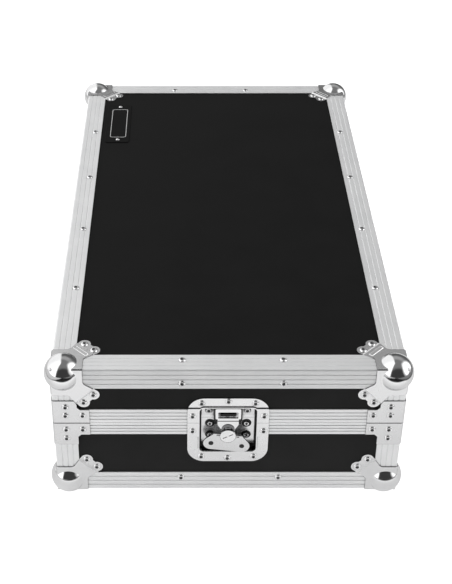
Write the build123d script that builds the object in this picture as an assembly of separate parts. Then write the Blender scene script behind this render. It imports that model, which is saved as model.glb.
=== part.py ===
from build123d import *
import math
import os

# Case over its edge sections, without the ball corners
case_w = 446.0          # short ends, along X
case_l = 800.0          # long sides, along Y
base_h = 116.0          # lid joint above the bottom of the edge sections
lid_gap = 0.3           # dark line left between the lid rim and the base rim
rest_on = 0.01          # a cut starts this far outside the face that it opens
through = 5.0           # a cut runs this far past what it goes through

# Boards and the play that each board has in its channel
board_t = 9.0
board_play = 0.1

# Double angle edge section
leg_w = 30.0
skin_t = 1.5
inner_t = 1.2
inner_leg_w = 22.0
edge_r = 2.5
groove_first = 8.5      # first groove from the outer corner
groove_pitch = 7.2
groove_count = 3
groove_w = 1.4
groove_d = 0.45

# Tongue and groove rim sections
lid_rim_h = 21.5
base_rim_h = 19.3
rim_web_t = 1.5
tongue_in = 4.2         # outer face of the case to the tongue
tongue_w = 3.5
tongue_h = 4.5
tongue_chamfer = 1.0
tongue_play_out = 0.4
tongue_play_in = 0.9
tongue_play_top = 0.6

# Ball corners
ball_r = 24.0
ball_in = 14.5          # ball centre inside each face
plate_t = 1.2
leaf_edge = 0.3         # slit left open along each corner edge
leaf_reach = 40.0
leaf_shoulder = 22.0
lobe_near = 40.0
lobe_far = 52.6
lobe_r = 8.0
lobe_bridge = 4.5       # web between the two lobes, outwards of their centres
shoulder_r = 7.0
ear_over_rim = 3.9      # ear of a lid corner to the lid rim
crank_sum = 82.0        # crank line, both distances from the corner added
leaf_clear = 0.2        # leaf to the lip of the edge section

# Corner braces beside the lid joint
brace_reach = 46.5
brace_column_w = 31.0
brace_h = 35.7
brace_inset = 0.5       # brace edge to the lid joint
brace_chamfer = 4.0
brace_clear = 1.2       # brace to the ear of the ball corner

# Feet
foot_r = 19.0
foot_top_r = 17.0
foot_h = 13.6
foot_chamfer = 1.0
foot_x = 150.0
foot_y = 325.0

# Foam lining
foam_play = 0.3
floor_foam_t = 10.0
wall_foam_t = 30.0
lid_foam_t = 15.0
wall_foam_drop = 6.0    # top of the wall foam below the lid joint
foam_joint = 0.3        # butt joint between two strips of the wall foam

# Recessed latch, heights from the lid joint
dish_w = 104.0
dish_up = 39.4
dish_down = 66.5
dish_r = 22.0
open_w = 73.0
open_up = 24.5
open_down = 48.5
open_r = 6.0
pan_depth = 10.2        # face of the case to the floor of the dish
sheet_t = 1.2
dish_crank_up = 23.4
dish_crank_down = 22.7
dish_clear = 0.3        # dish to the cut-out around it
latch_y = 205.0         # latches on the long side, from its middle

# Latch spindle, wing and hook, in the frame of the latch
spindle_drop = 20.0     # spindle axis below the lid joint
disc_r = 10.0
disc_t = 2.0
disc_out = 4.0          # front of the disc, outwards of the face
disc_slot_l = 6.0       # two slots in line in the front of the disc
disc_slot_w = 1.3
disc_slot_d = 0.7
disc_slot_from = 1.2    # middle of the disc to the near end of each slot
disc_slot_lean = 35.0   # slots lean by this angle, degrees
shaft_r = 4.0
hub_r = 9.0
hub_h = 4.4
stub_r = 3.0
pivot_fit = 0.05        # radial play of a pivot in its hole
hub_top_r = 5.0
turn_play = 0.2         # hub to the floor of the dish
pin_r = 0.9
knuckle_r = 1.7
knuckle_l = 4.2
pin_l = 3.2             # pin in the knuckle
disc_gap = 0.35         # wing to the rim of the disc
lobe_x = 20.0
lobe_drop = 14.0
wing_lobe_r = 10.0
wing_hub_r = 14.8
wing_t = 2.0
wing_above = 2.5        # wing plate above its fold axis
wing_hole_r = 2.2
wing_skew = 7.5         # wing lies turned by this angle, degrees
hook_t = 2.0
hook_out = 1.0          # front of the hook plate, outwards of the face
hook_w = 32.4
hook_neck_w = 27.0
hook_tail_w = 17.0
hook_top = 23.2
hook_shoulder = 6.2
hook_corner_r = 1.5
hook_taper_top = -3.0   # neck narrows to the tail from here
hook_taper_low = -11.0
window_w = 25.6
window_top = 17.7
window_low = 7.7
window_r = 1.0
crease_up = 3.2         # crease across the hook, above the lid joint
crease_w = 1.4
crease_d = 0.7
hook_draw = 4.5         # travel down when the latch is locked
hook_in = 3.0           # travel inwards when the latch is locked
slot_play = 0.3
lip_w = 20.0
lip_top = 13.0
lip_h = 3.5
lip_gap = 0.3           # released hook to the tip of the keeper lip

# Hinges on the long side away from the handle
hinge_y = 230.0
hinge_w = 63.0
hinge_leaf_t = 2.0
hinge_leaf_h = 17.0
hinge_leaf_inset = 0.8
barrel_r = 3.4
barrel_clear = 0.4      # barrel to the face of the case
hinge_pin_r = 1.9
hinge_pin_head_r = 2.9
hinge_pin_head_t = 1.2
knuckle_gap = 0.3

# Recessed carrying handle
handle_margin = 2.35    # dish to the edge section below and to the rim above
handle_flange_h = 9.0   # flange above and below the opening
handle_flange_w = 17.0  # flange beside the opening
handle_r = 12.0
handle_open_w = 116.0
handle_open_r = 8.0
handle_depth = 24.0     # board face to the floor of the handle dish
bail_r = 3.5
bail_leg_in = 7.0       # wall of the opening to the middle of the bail's leg
bail_bend_r = 8.0
bail_ear_r = 4.0        # bend between a leg and its pivot end
bail_axis_in = 8.0      # face of the case to the bail's axis
bail_axis_drop = 8.0    # top of the opening to the bail's axis
bail_end_play = 0.4
grip_r = 7.5
grip_low_gap = 2.5      # grip to the bottom of the opening
grip_end_gap = 2.0      # end of the grip to the bail's bend
grip_end_chamfer = 1.5

# Values worked out from the ones above
ear_reach = lobe_far + lobe_r - leg_w         # ear of a ball corner past the edge section
lid_h = leg_w + ear_reach + ear_over_rim + lid_rim_h
case_h = base_h + lid_h
board_out = skin_t + board_play               # face of the case to the board
channel_w = board_t + 2 * board_play
web_in = skin_t + channel_w
lining_in = web_in + inner_t
board_in = lining_in + board_play
foam_in = lining_in + foam_play
base_z = foot_h - board_out                   # bottom of the edge sections
top_z = base_z + case_h
split_z = base_z + base_h
lid_z = split_z + lid_gap
hinge_out = barrel_r + barrel_clear
handle_z = base_z + (leg_w + base_h - base_rim_h) / 2
handle_h = base_h - base_rim_h - leg_w - 2 * handle_margin
handle_w = handle_open_w + 2 * handle_flange_w
handle_open_h = handle_h - 2 * handle_flange_h
bail_leg_x = handle_open_w / 2 - bail_leg_in
bail_axis_up = handle_open_h / 2 - bail_axis_drop
bail_low = grip_r + grip_low_gap - handle_open_h / 2
grip_l = 2 * (bail_leg_x - bail_bend_r - grip_end_gap)
wing_middle = disc_t / 2 - disc_out           # fold axis of the wing, from the face
spindle_z = -spindle_drop
sides = {
    "near": (case_w, case_l / 2, 0),
    "right": (case_l, case_w / 2, 90),
    "far": (case_w, case_l / 2, 180),
    "left": (case_l, case_w / 2, 270),
}
latches = {
    "near": ("near", 0.0),
    "far": ("far", 0.0),
    "right_a": ("right", -latch_y),
    "right_b": ("right", latch_y),
}
lowest = (Align.MIN, Align.MIN)


def rect(u0, u1, v0, v1):
    """Rectangle between two values each way."""
    return Pos(u0, v0) * Rectangle(u1 - u0, v1 - v0, align=lowest)


def block(x0, x1, y0, y1, z0, z1):
    """Box between two values each way."""
    return Pos(x0, y0, z0) * Box(x1 - x0, y1 - y0, z1 - z0, align=(Align.MIN, Align.MIN, Align.MIN))


def rounded_rect(x0, x1, z0, z1, r):
    """Rectangle with round corners between two values each way."""
    middle = Pos((x0 + x1) / 2, (z0 + z1) / 2)
    return middle * RectangleRounded(x1 - x0, z1 - z0, r)


def plate_on_side(sketch, y0, y1):
    """Sketch in X and Z, given thickness from y0 to y1; outwards is -Y."""
    face_plane = Plane(origin=(0, y0, 0), x_dir=(1, 0, 0), z_dir=(0, -1, 0))
    return extrude(face_plane * sketch, amount=-(y1 - y0))


def rod_x(x0, x1, y, z, r):
    """Round bar along X."""
    bar_plane = Plane(origin=(x0, y, z), x_dir=(0, 1, 0), z_dir=(1, 0, 0))
    return extrude(bar_plane * Circle(r), amount=x1 - x0)


def rod_y(y0, y1, x, z, r):
    """Round bar along Y."""
    bar_plane = Plane(origin=(x, y0, z), x_dir=(1, 0, 0), z_dir=(0, 1, 0))
    return extrude(bar_plane * Circle(r), amount=y1 - y0)


def to_side(shape, side, along=0.0, z=0.0):
    """Move a shape made at the origin, outwards -Y, to its place on a side of the case."""
    length, out, turn = sides[side]
    return Rot(0, 0, turn) * Pos(along, -out, z) * shape


def save(shape, name):
    """Write one node."""
    export_step(shape, f"parts/{name}.step")


def grooves(rotated=False):
    """Shallow V grooves in the outer face of one leg."""
    cuts = Sketch()
    for i in range(groove_count):
        at = groove_first + i * groove_pitch
        vee = [(at - groove_w / 2, -rest_on), (at + groove_w / 2, -rest_on), (at, groove_d)]
        if rotated:
            vee = [(b, a) for a, b in vee]
        cuts += make_face(Polyline(*vee, close=True))
    return cuts


def edge_section():
    """Double angle: two ribbed outer legs and two inner legs that hold the boards."""
    outer = rect(0, leg_w, 0, skin_t) + rect(0, skin_t, 0, leg_w)
    outer = fillet(outer.vertices().sort_by(lambda v: v.X + v.Y)[0], edge_r)
    inner = rect(skin_t / 2, inner_leg_w, web_in, lining_in) + rect(web_in, lining_in, skin_t / 2, inner_leg_w)
    return outer + inner - grooves() - grooves(rotated=True)


def rim_grooves(low, high):
    """Three V grooves shared out over a rim's outer leg."""
    cuts = Sketch()
    for i in range(groove_count):
        at = low + (high - low) * (i + 1) / (groove_count + 1)
        vee = [(-rest_on, at - groove_w / 2), (-rest_on, at + groove_w / 2), (groove_d, at)]
        cuts += make_face(Polyline(*vee, close=True))
    return cuts


def base_rim_section():
    """Channel over the top of a base wall, with the tongue that locates the lid."""
    legs = rect(0, skin_t, -base_rim_h, 0) + rect(web_in, lining_in, -base_rim_h, 0)
    web = rect(0, lining_in, -rim_web_t, 0)
    tongue = make_face(Polyline(
        (tongue_in, -rim_web_t / 2), (tongue_in + tongue_w, -rim_web_t / 2),
        (tongue_in + tongue_w, tongue_h - tongue_chamfer), (tongue_in + tongue_w - tongue_chamfer, tongue_h),
        (tongue_in + tongue_chamfer, tongue_h), (tongue_in, tongue_h - tongue_chamfer), close=True))
    return legs + web + tongue - rim_grooves(-base_rim_h, 0)


def lid_rim_section():
    """Channel under the edge of a lid wall, with the groove that takes the tongue."""
    web_low = tongue_h + tongue_play_top
    bottom = lid_gap
    solid_part = rect(0, lining_in, bottom, web_low + rim_web_t)
    groove_in = tongue_in + tongue_w + tongue_play_in
    groove = rect(tongue_in - tongue_play_out, groove_in, bottom - through, web_low)
    legs = rect(0, skin_t, bottom, lid_rim_h) + rect(web_in, lining_in, bottom, lid_rim_h)
    return solid_part + legs - groove - rim_grooves(bottom, lid_rim_h)


def bar_on_side(section, side):
    """One length of a section along a side, outer face on the case's face, mitred at both ends."""
    length, out, turn = sides[side]
    start = Plane(origin=(-length / 2, -out, 0), x_dir=(0, 1, 0), z_dir=(1, 0, 0))
    bar = extrude(start * section, amount=length)
    half = length / 2
    mitre = make_face(Polyline(
        (-half, -out), (half, -out), (half - leg_w, -out + leg_w), (-half + leg_w, -out + leg_w), close=True))
    return Rot(0, 0, turn) * (bar & extrude(mitre, amount=case_h, both=True))


def edge_bar(side, top=False):
    """One of the eight long and short edge sections."""
    bar = bar_on_side(edge_section(), side)
    if top:
        return Pos(0, 0, top_z) * mirror(bar, about=Plane.XY)
    return Pos(0, 0, base_z) * bar


def four_corners(piece, z):
    """Repeat a corner piece made for the near left corner at all four corners."""
    group = []
    for corner in range(4):
        x_out, y_out = (case_w / 2, case_l / 2) if corner % 2 == 0 else (case_l / 2, case_w / 2)
        group.append(Rot(0, 0, 90 * corner) * Pos(-x_out, -y_out, z) * piece)
    return Compound(children=group)


def corner_posts(z0, z1):
    """Vertical edge sections between two heights."""
    return four_corners(extrude(edge_section(), amount=z1 - z0), z0)


def latches_on(side):
    """Places of the latches along a side."""
    return [along for where, along in latches.values() if where == side]


def latch_cut(side, along, z0, z1):
    """Space that a latch dish takes out of a wall and its rims."""
    half = open_w / 2 + sheet_t + dish_clear
    return to_side(block(-half, half, -dish_clear - leg_w, leg_w, z0, z1), side, along)


def handle_cut():
    """Space that the handle dish takes out of its wall."""
    half_w = handle_open_w / 2 + sheet_t + dish_clear
    half_h = handle_open_h / 2 + sheet_t + dish_clear
    depth = board_out + handle_depth + sheet_t + foam_play
    hole = block(-half_w, half_w, -leg_w, depth, -half_h, half_h)
    return to_side(hole, "right", 0, handle_z)


def rim(side, section):
    """Rim section along one side of the lid joint, open where a latch passes."""
    bar = Pos(0, 0, split_z) * bar_on_side(section, side)
    for along in latches_on(side):
        bar -= latch_cut(side, along, split_z - case_h, split_z + case_h)
    return bar


def wall(side, z0, z1):
    """Board of one side between its edge section and its rim."""
    length = sides[side][0]
    half = length / 2 - board_in
    board = to_side(block(-half, half, board_out, board_out + board_t, z0, z1), side)
    low = split_z - open_down - sheet_t - dish_clear
    high = split_z + open_up + sheet_t + dish_clear
    for along in latches_on(side):
        board -= latch_cut(side, along, low, high)
    return board


def base_wall(side):
    """Base board, with the hole for the handle on the right side."""
    board = wall(side, base_z + board_in, split_z - rim_web_t - board_play)
    if side == "right":
        board -= handle_cut()
    return board


def lid_wall(side):
    """Lid board."""
    z0 = split_z + tongue_h + tongue_play_top + rim_web_t + board_play
    return wall(side, z0, top_z - board_in)


def flat_board(z0):
    """Floor or top board."""
    half_x = case_w / 2 - board_in
    half_y = case_l / 2 - board_in
    return block(-half_x, half_x, -half_y, half_y, z0, z0 + board_t)


def leaf_blank(grow=0.0):
    """Outline of one leaf of a ball corner: a square with an ear of two lobes, larger all round by grow."""
    side = leaf_reach + grow
    lobe = lobe_r + grow
    square = rect(leaf_edge, side, leaf_edge, side)
    dx, dy = lobe_near - leaf_shoulder, lobe_far - leaf_reach
    reach = math.hypot(dx, dy)
    lean = math.atan2(dy, dx) + math.asin(lobe / reach)
    run = math.sqrt(reach ** 2 - lobe ** 2)
    touch = (leaf_shoulder + run * math.cos(lean), leaf_reach + run * math.sin(lean))
    push = lobe_bridge / math.sqrt(2)
    ear = make_face(Polyline(
        (leaf_shoulder, leaf_reach), touch, (lobe_near, lobe_far), (lobe_near + push, lobe_far + push),
        (lobe_far + push, lobe_near + push), (lobe_far, lobe_near), (touch[1], touch[0]),
        (leaf_reach, leaf_shoulder), close=True))
    lobes = Pos(lobe_near, lobe_far) * Circle(lobe) + Pos(lobe_far, lobe_near) * Circle(lobe)
    return square + ear + lobes


def leaf_sketch():
    """Finished outline of a leaf, with round inside corners beside its ear."""
    outline = leaf_blank()
    shoulders = [Vector(leaf_shoulder, leaf_reach), Vector(leaf_reach, leaf_shoulder)]
    inside = [outline.vertices().sort_by_distance(point)[0] for point in shoulders]
    return fillet(inside, shoulder_r)


def leaf():
    """One leaf on the face Z = 0, outwards -Z: flat on the edge sections, cranked down to the board."""
    outline = leaf_sketch()
    lip = leg_w + leaf_clear
    far = 2 * lobe_far
    on_board = rect(lip, far, lip, far)
    before_crank = make_face(Polyline((lip, lip), (crank_sum - lip, lip), (lip, crank_sum - lip), close=True))
    flat = extrude(outline - (on_board - before_crank), amount=-plate_t)
    step = Pos(0, 0, -plate_t) * extrude(outline & before_crank, amount=plate_t + board_out)
    ear = Pos(0, 0, board_out - plate_t) * extrude(outline & on_board, amount=plate_t)
    return flat + step + ear


def ball_corner():
    """Ball and three leaves, for the corner at the origin with the case in the +X +Y +Z octant."""
    one = leaf()
    second = Plane(origin=(0, 0, 0), x_dir=(0, 1, 0), z_dir=(1, 0, 0)) * one
    third = Plane(origin=(0, 0, 0), x_dir=(0, 0, 1), z_dir=(0, 1, 0)) * one
    ball = Pos(ball_in, ball_in, ball_in) * Sphere(ball_r)
    ball -= block(0, case_w, 0, case_w, 0, case_w)
    return ball + one + second + third


def brace(arm_h, corner_h):
    """Folded plate round a vertical corner, for the near left corner, standing on Z = 0.

    corner_h is how far above it the case's corner is, where the ball corner sits with its ears.
    """
    section = rect(-plate_t, brace_reach, -plate_t, 0) + rect(-plate_t, 0, -plate_t, brace_reach)
    section = fillet(section.vertices().sort_by(lambda v: v.X + v.Y)[0], edge_r + plate_t)
    plate = Pos(0, 0, brace_inset) * extrude(section, amount=brace_h - brace_inset)
    past = brace_reach + through
    top = brace_h + through
    outside = make_face(Polyline(
        (brace_column_w, top), (brace_column_w, arm_h + brace_chamfer),
        (brace_column_w + brace_chamfer, arm_h), (past, arm_h), (past, top), close=True))
    ears = Pos(0, corner_h) * mirror(leaf_blank(brace_clear), about=Plane.XZ)
    cut = plate_on_side(outside + ears, -plate_t - through, rest_on)
    swapped = mirror(cut, about=Plane(origin=(0, 0, 0), z_dir=(1, -1, 0)))
    return plate - cut - swapped


def foot():
    """Rubber foot, seated on the floor board."""
    disc = Cone(foot_r, foot_top_r, foot_h, align=(Align.CENTER, Align.CENTER, Align.MIN))
    return chamfer(disc.edges().group_by(Axis.Z)[0], foot_chamfer)


def feet():
    """Four feet."""
    return Compound(children=[Pos(sx * foot_x, sy * foot_y, 0) * foot() for sx in (-1, 1) for sy in (-1, 1)])


def foam_block(z0, z1):
    """Foam cut to the inside of the case."""
    half_x = case_w / 2 - foam_in
    half_y = case_l / 2 - foam_in
    return block(-half_x, half_x, -half_y, half_y, z0, z1)


def floor_foam():
    """Pad on the floor."""
    z0 = base_z + foam_in
    return foam_block(z0, z0 + floor_foam_t)


def wall_foam():
    """Four strips along the walls, which leave the pocket for the controller."""
    z0 = base_z + foam_in + floor_foam_t
    z1 = split_z - wall_foam_drop
    x1, y1 = case_w / 2 - foam_in, case_l / 2 - foam_in
    x0, y0 = x1 - wall_foam_t, y1 - wall_foam_t
    end = x0 - foam_joint
    strips = [block(-x1, -x0, -y1, y1, z0, z1), block(x0, x1, -y1, y1, z0, z1) - handle_cut()]
    strips += [block(-end, end, -y1, -y0, z0, z1), block(-end, end, y0, y1, z0, z1)]
    return Compound(children=strips)


def lid_foam():
    """Pad under the top board."""
    z1 = top_z - foam_in
    return foam_block(z1 - lid_foam_t, z1)


def dish():
    """Whole latch dish, heights from the lid joint, face of the case at Y = 0."""
    outline = rounded_rect(-dish_w / 2, dish_w / 2, -dish_down, dish_up, dish_r)
    opening = rounded_rect(-open_w / 2, open_w / 2, -open_down, open_up, open_r)
    outer_pan = rounded_rect(-open_w / 2 - sheet_t, open_w / 2 + sheet_t, -open_down - sheet_t,
                             open_up + sheet_t, open_r + sheet_t)
    over_rims = rect(-dish_w, dish_w, -dish_crank_down, dish_crank_up)
    on_rims = rect(-dish_w, dish_w, -base_rim_h - leaf_clear, lid_rim_h + leaf_clear)
    raised = plate_on_side(outline & over_rims, -sheet_t, 0)
    cranks = plate_on_side((outline & over_rims) - on_rims, -sheet_t, board_out)
    low = plate_on_side(outline - on_rims, board_out - sheet_t, board_out)
    pan = plate_on_side(outer_pan, -sheet_t, pan_depth + sheet_t)
    return raised + cranks + low + pan - plate_on_side(opening, -sheet_t - through, pan_depth)


def latch_dish():
    """Base half of the dish, with the bearing hole of the spindle."""
    lower = dish() & block(-dish_w, dish_w, -leg_w, leg_w, -2 * dish_down, 0)
    return lower - rod_y(0, leg_w, 0, spindle_z, stub_r + pivot_fit)


def latch_keeper():
    """Lid half of the dish, with the lip that the hook draws on."""
    upper = dish() & block(-dish_w, dish_w, -leg_w, leg_w, lid_gap, 2 * dish_up)
    tip = hook_t - hook_out + lip_gap
    lip = block(-lip_w / 2, lip_w / 2, tip, pan_depth + sheet_t / 2, lip_top - lip_h, lip_top)
    return upper + lip


def spindle():
    """Turning spindle: disc, shaft, hub, bearing stub and the two fold pins of the wing."""
    hub_back = pan_depth - turn_play
    shape = rod_y(-disc_out, disc_t - disc_out, 0, 0, disc_r)
    slots = Sketch()
    slot_end = disc_slot_from + disc_slot_l
    for lean in (disc_slot_lean, disc_slot_lean + 180):
        slots += Rot(0, 0, lean) * rect(disc_slot_from, slot_end, -disc_slot_w / 2, disc_slot_w / 2)
    shape -= plate_on_side(slots, -disc_out - rest_on, disc_slot_d - disc_out)
    shape += rod_y(wing_middle, hub_back, 0, 0, shaft_r)
    hub = Plane(origin=(0, hub_back, 0), x_dir=(1, 0, 0), z_dir=(0, -1, 0)) * Cone(
        hub_r, hub_top_r, hub_h, align=(Align.CENTER, Align.CENTER, Align.MIN))
    shape += hub
    shape += rod_y(wing_middle, pan_depth + sheet_t - turn_play, 0, 0, stub_r)
    reach = disc_r + disc_gap + pin_l
    return shape + rod_x(-reach, reach, wing_middle, 0, pin_r)


def wing():
    """Butterfly wing that folds about the pins of the spindle."""
    lobes = [Pos(s * lobe_x, -lobe_drop) * Circle(wing_lobe_r) for s in (-1, 1)]
    hull_edges = [edge for circle in lobes + [Circle(wing_hub_r)] for edge in circle.edges()]
    far = lobe_x + wing_lobe_r + through
    outline = make_hull(hull_edges) & rect(-far, far, -far, wing_above)
    outline -= Circle(disc_r + disc_gap)
    for s in (-1, 1):
        outline -= Pos(s * lobe_x, -lobe_drop) * Circle(wing_hole_r)
    shape = plate_on_side(outline, wing_middle - wing_t / 2, wing_middle + wing_t / 2)
    inner = disc_r + disc_gap
    for s in (-1, 1):
        x0, x1 = sorted((s * inner, s * (inner + knuckle_l)))
        shape += rod_x(x0, x1, wing_middle, 0, knuckle_r)
    return shape - rod_x(-far, far, wing_middle, 0, pin_r + pivot_fit)


def hook():
    """Flat hook plate: window at the top, crease below it, slot round the spindle at the tail."""
    head = rounded_rect(-hook_w / 2, hook_w / 2, hook_shoulder, hook_top, hook_corner_r)
    inside_head = hook_shoulder + hook_corner_r
    neck = make_face(Polyline(
        (-hook_neck_w / 2, inside_head), (hook_neck_w / 2, inside_head),
        (hook_neck_w / 2, hook_taper_top), (hook_tail_w / 2, hook_taper_low),
        (hook_tail_w / 2, spindle_z), (-hook_tail_w / 2, spindle_z),
        (-hook_tail_w / 2, hook_taper_low), (-hook_neck_w / 2, hook_taper_top), close=True))
    tail = Pos(0, spindle_z) * Circle(hook_tail_w / 2)
    window = rounded_rect(-window_w / 2, window_w / 2, window_low, window_top, window_r)
    slot_r = shaft_r + slot_play
    slot = Pos(0, spindle_z) * Circle(slot_r) + Pos(0, spindle_z + hook_draw) * Circle(slot_r)
    slot += rect(-slot_r, slot_r, spindle_z, spindle_z + hook_draw)
    vee = make_face(Polyline(
        (-hook_out - rest_on, crease_up - crease_w / 2), (-hook_out - rest_on, crease_up + crease_w / 2),
        (crease_d - hook_out, crease_up), close=True))
    across = Plane(origin=(-hook_w, 0, 0), x_dir=(0, 1, 0), z_dir=(1, 0, 0))
    crease = extrude(across * vee, amount=2 * hook_w)
    return plate_on_side(head + neck + tail - window - slot, -hook_out, hook_t - hook_out) - crease


def skewed(shape):
    """Turn a piece on the spindle to the angle at which the wing lies."""
    return Pos(0, 0, spindle_z) * Rot(0, wing_skew, 0) * shape


def hinge_leaf(knuckles):
    """Base leaf of a hinge with its knuckles; axis along X at Z = 0, face of the case at Y = 0."""
    pitch = hinge_w / 3
    top = -hinge_leaf_inset
    shape = block(-hinge_w / 2, hinge_w / 2, -hinge_leaf_t, 0, top - hinge_leaf_h, top)
    clear = barrel_r + barrel_clear
    for i in range(3):
        x0 = -hinge_w / 2 + i * pitch
        if i in knuckles:
            inset0 = knuckle_gap / 2 if i > 0 else 0
            inset1 = knuckle_gap / 2 if i < 2 else 0
            shape += rod_x(x0 + inset0, x0 + pitch - inset1, -hinge_out, 0, barrel_r)
        else:
            shape -= block(x0 - knuckle_gap / 2, x0 + pitch + knuckle_gap / 2, -leg_w, leg_w, -clear, leg_w)
    return shape - rod_x(-hinge_w, hinge_w, -hinge_out, 0, hinge_pin_r + pivot_fit)


def hinge_pin():
    """Headed pin of one hinge."""
    half = hinge_w / 2
    shape = rod_x(-half, half, -hinge_out, 0, hinge_pin_r)
    for x0 in (-half - hinge_pin_head_t, half):
        shape += rod_x(x0, x0 + hinge_pin_head_t, -hinge_out, 0, hinge_pin_head_r)
    return shape


def at_hinges(shape):
    """Repeat a hinge piece at both hinges."""
    axis_z = split_z + lid_gap / 2
    return Compound(children=[to_side(shape, "left", along, axis_z) for along in (-hinge_y, hinge_y)])


def handle_dish():
    """Dish of the carrying handle, middle at the origin, face of the case at Y = 0."""
    outline = RectangleRounded(handle_w, handle_h, handle_r)
    opening = RectangleRounded(handle_open_w, handle_open_h, handle_open_r)
    outer = RectangleRounded(handle_open_w + 2 * sheet_t, handle_open_h + 2 * sheet_t, handle_open_r + sheet_t)
    floor_y = board_out + handle_depth
    flange = plate_on_side(outline, board_out - sheet_t, board_out)
    pan = plate_on_side(outer, board_out - sheet_t, floor_y + sheet_t)
    shape = flange + pan - plate_on_side(opening, -leg_w, floor_y)
    return shape - rod_x(-handle_w / 2, handle_w / 2, bail_axis_in, bail_axis_up, bail_r + pivot_fit)


def bail():
    """Bent rod of the handle, hanging down from its axis."""
    end = handle_open_w / 2 + sheet_t - bail_end_play
    path = FilletPolyline(
        (-end, bail_axis_in, bail_axis_up), (-bail_leg_x, bail_axis_in, bail_axis_up),
        (-bail_leg_x, bail_axis_in, bail_low), (bail_leg_x, bail_axis_in, bail_low),
        (bail_leg_x, bail_axis_in, bail_axis_up), (end, bail_axis_in, bail_axis_up),
        radius=(bail_ear_r, bail_bend_r, bail_bend_r, bail_ear_r))
    start = Plane(origin=path @ 0, x_dir=(0, 1, 0), z_dir=path % 0)
    return sweep(start * Circle(bail_r), path=path)


def grip():
    """Rubber sleeve on the bail."""
    sleeve = rod_x(-grip_l / 2, grip_l / 2, bail_axis_in, bail_low, grip_r)
    sleeve = chamfer(sleeve.edges().filter_by(GeomType.CIRCLE), grip_end_chamfer)
    return sleeve - rod_x(-bail_leg_x, bail_leg_x, bail_axis_in, bail_low, bail_r)


def build():
    """Write every node."""
    os.makedirs("parts", exist_ok=True)
    save(flat_board(base_z + board_out), "floor_board")
    save(flat_board(top_z - board_out - board_t), "top_board")
    for side in sides:
        save(base_wall(side), f"base_wall_{side}")
        save(lid_wall(side), f"lid_wall_{side}")
        save(edge_bar(side), f"base_edge_{side}")
        save(edge_bar(side, top=True), f"lid_edge_{side}")
        save(rim(side, base_rim_section()), f"base_rim_{side}")
        save(rim(side, lid_rim_section()), f"lid_rim_{side}")
    save(corner_posts(base_z + leg_w, split_z - base_rim_h), "base_corner_posts")
    save(corner_posts(split_z + lid_rim_h, top_z - leg_w), "lid_corner_posts")
    corner = ball_corner()
    save(four_corners(corner, base_z), "base_ball_corners")
    save(four_corners(mirror(corner, about=Plane.XY), top_z), "lid_ball_corners")
    base_brace = brace(base_rim_h - leaf_clear, base_h)
    lid_brace = brace(lid_rim_h - leaf_clear, lid_h - lid_gap)
    save(four_corners(mirror(base_brace, about=Plane.XY), split_z), "base_corner_braces")
    save(four_corners(lid_brace, lid_z), "lid_corner_braces")
    save(feet(), "feet")
    save(floor_foam(), "floor_foam")
    save(wall_foam(), "wall_foam")
    save(lid_foam(), "lid_foam")
    keeper = latch_keeper()
    lower = latch_dish()
    pieces = {"spindle": skewed(spindle()), "wing": skewed(wing()), "hook": hook()}
    keepers = []
    for name, (side, along) in latches.items():
        keepers.append(to_side(keeper, side, along, split_z))
        save(to_side(lower, side, along, split_z), f"latch_{name}_dish")
        for piece, shape in pieces.items():
            save(to_side(shape, side, along, split_z), f"latch_{name}_{piece}")
    save(Compound(children=keepers), "lid_latch_keepers")
    save(at_hinges(hinge_leaf((0, 2))), "base_hinge_leaves")
    save(at_hinges(mirror(hinge_leaf((1,)), about=Plane.XY)), "lid_hinge_leaves")
    save(at_hinges(hinge_pin()), "hinge_pins")
    save(to_side(handle_dish(), "right", 0, handle_z), "handle_dish")
    save(to_side(bail(), "right", 0, handle_z), "handle_bail")
    save(to_side(grip(), "right", 0, handle_z), "handle_grip")


build()
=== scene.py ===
import bmesh
import bpy
import math
from mathutils import Matrix, Vector, noise


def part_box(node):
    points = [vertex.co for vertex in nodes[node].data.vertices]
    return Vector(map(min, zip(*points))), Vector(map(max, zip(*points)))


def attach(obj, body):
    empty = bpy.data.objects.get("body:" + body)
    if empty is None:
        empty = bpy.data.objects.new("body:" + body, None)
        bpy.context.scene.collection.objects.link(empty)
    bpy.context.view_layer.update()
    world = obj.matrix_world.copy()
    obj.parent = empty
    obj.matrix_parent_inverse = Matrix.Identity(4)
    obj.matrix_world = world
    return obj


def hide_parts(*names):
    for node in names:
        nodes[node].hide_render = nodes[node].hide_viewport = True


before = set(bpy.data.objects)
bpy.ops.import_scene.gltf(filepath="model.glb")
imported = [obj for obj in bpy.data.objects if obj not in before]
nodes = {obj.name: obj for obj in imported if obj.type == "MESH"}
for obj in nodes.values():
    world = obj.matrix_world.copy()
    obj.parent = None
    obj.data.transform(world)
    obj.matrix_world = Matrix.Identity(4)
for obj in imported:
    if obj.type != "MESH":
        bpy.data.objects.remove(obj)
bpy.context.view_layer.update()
scene = bpy.context.scene
mm = 0.001

# Sizes, read from the frame where it has them
top_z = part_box("lid_edge_near")[1].z
bottom_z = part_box("base_edge_near")[0].z
split_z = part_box("latch_near_dish")[1].z
half_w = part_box("lid_edge_right")[1].x
half_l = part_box("lid_edge_far")[1].y
dish_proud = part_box("latch_right_b_dish")[1].x - half_w
brace_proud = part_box("base_corner_braces")[1].x - half_w
ball_r = 24.0 * mm
ball_in = ball_r + half_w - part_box("lid_ball_corners")[1].x    # ball centre inside each face
sheet_t = 1.2 * mm             # of the latch dishes and the keeper tabs
pan_floor = half_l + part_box("latch_near_dish")[1].y - sheet_t
hinge_proud = 2.0 * mm
hinge_half = 32.7 * mm         # half a hinge and the head of its pin
hinge_axis_z = (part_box("hinge_pins")[0].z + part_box("hinge_pins")[1].z) / 2
hinge_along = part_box("hinge_pins")[1].y - hinge_half
handle_z = (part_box("handle_dish")[0].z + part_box("handle_dish")[1].z) / 2
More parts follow.
